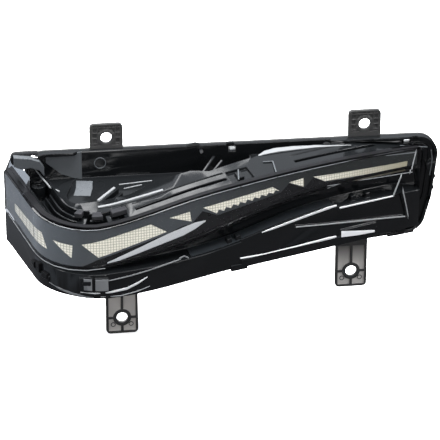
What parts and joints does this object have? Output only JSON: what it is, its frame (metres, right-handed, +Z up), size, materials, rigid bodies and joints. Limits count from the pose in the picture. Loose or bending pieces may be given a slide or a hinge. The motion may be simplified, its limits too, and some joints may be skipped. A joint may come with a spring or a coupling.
{
  "type": "headlight",
  "caption": "L-shaped corner headlight module: smoked light bar with pale windows on a gloss black ridge cover, rear housing with four ribbed mounting tabs.",
  "frame": {"origin": "midway between the two upper mounting holes, on the front face of their tabs", "axes": "+X along the lamp to its outer end, +Y to the back, +Z up"},
  "size_m": [0.3968, 0.1512, 0.2105],
  "materials": {
    "cover_black": "polished black moulding",
    "lens_smoke": "clear, lightly smoked",
    "mask_black": "gloss black bezel",
    "mask_grey": "satin dark grey mask",
    "optic_white": "pale diffusing light guide with a fine grid",
    "housing_grey": "fine-grained filled plastic",
    "seal_rubber": "soft seal",
    "screw_steel": "zinc plated",
    "sink_alu": "bare pressed or cast",
    "board_green": "solder-masked board",
    "led_yellow": "phosphor top",
    "reflector_white": "white tray",
    "socket_black": "moulded",
    "pin_brass": "tin-plated contact"
  },
  "bodies": {
    "root": {"bar_mask": "mask_grey", "board_screws": "screw_steel", "connector_pins": "pin_brass", "connector_seal": "seal_rubber", "connector_socket": "socket_black", "cover_screws": "screw_steel", "driver_board": "board_green", "driver_gasket": "seal_rubber", "driver_heat_sink": "sink_alu", "driver_screws": "screw_steel", "front_cover": "cover_black", "heat_spreader_corner": "sink_alu", "heat_spreader_front": "sink_alu", "heat_spreader_middle": "sink_alu", "heat_spreader_outer": "sink_alu", "heat_spreader_side": "sink_alu", "housing_seal": "seal_rubber", "led_board_corner": "board_green", "led_board_front": "board_green", "led_board_middle": "board_green", "led_board_outer": "board_green", "led_board_side": "board_green", "leds_corner": "led_yellow", "leds_front": "led_yellow", "leds_middle": "led_yellow", "leds_outer": "led_yellow", "leds_side": "led_yellow", "light_bar_lens": "lens_smoke", "lower_bezel": "mask_black", "optic_corner": "optic_white", "optic_front": "optic_white", "optic_front_small": "optic_white", "optic_middle": "optic_white", "optic_middle_small": "optic_white", "optic_outer": "optic_white", "optic_side": "optic_white", "rear_housing": "housing_grey", "reflector_corner": "reflector_white", "reflector_front": "reflector_white", "reflector_middle": "reflector_white", "reflector_outer": "reflector_white", "reflector_side": "reflector_white", "vent_cap": "socket_black"}
  },
  "joints": []
}
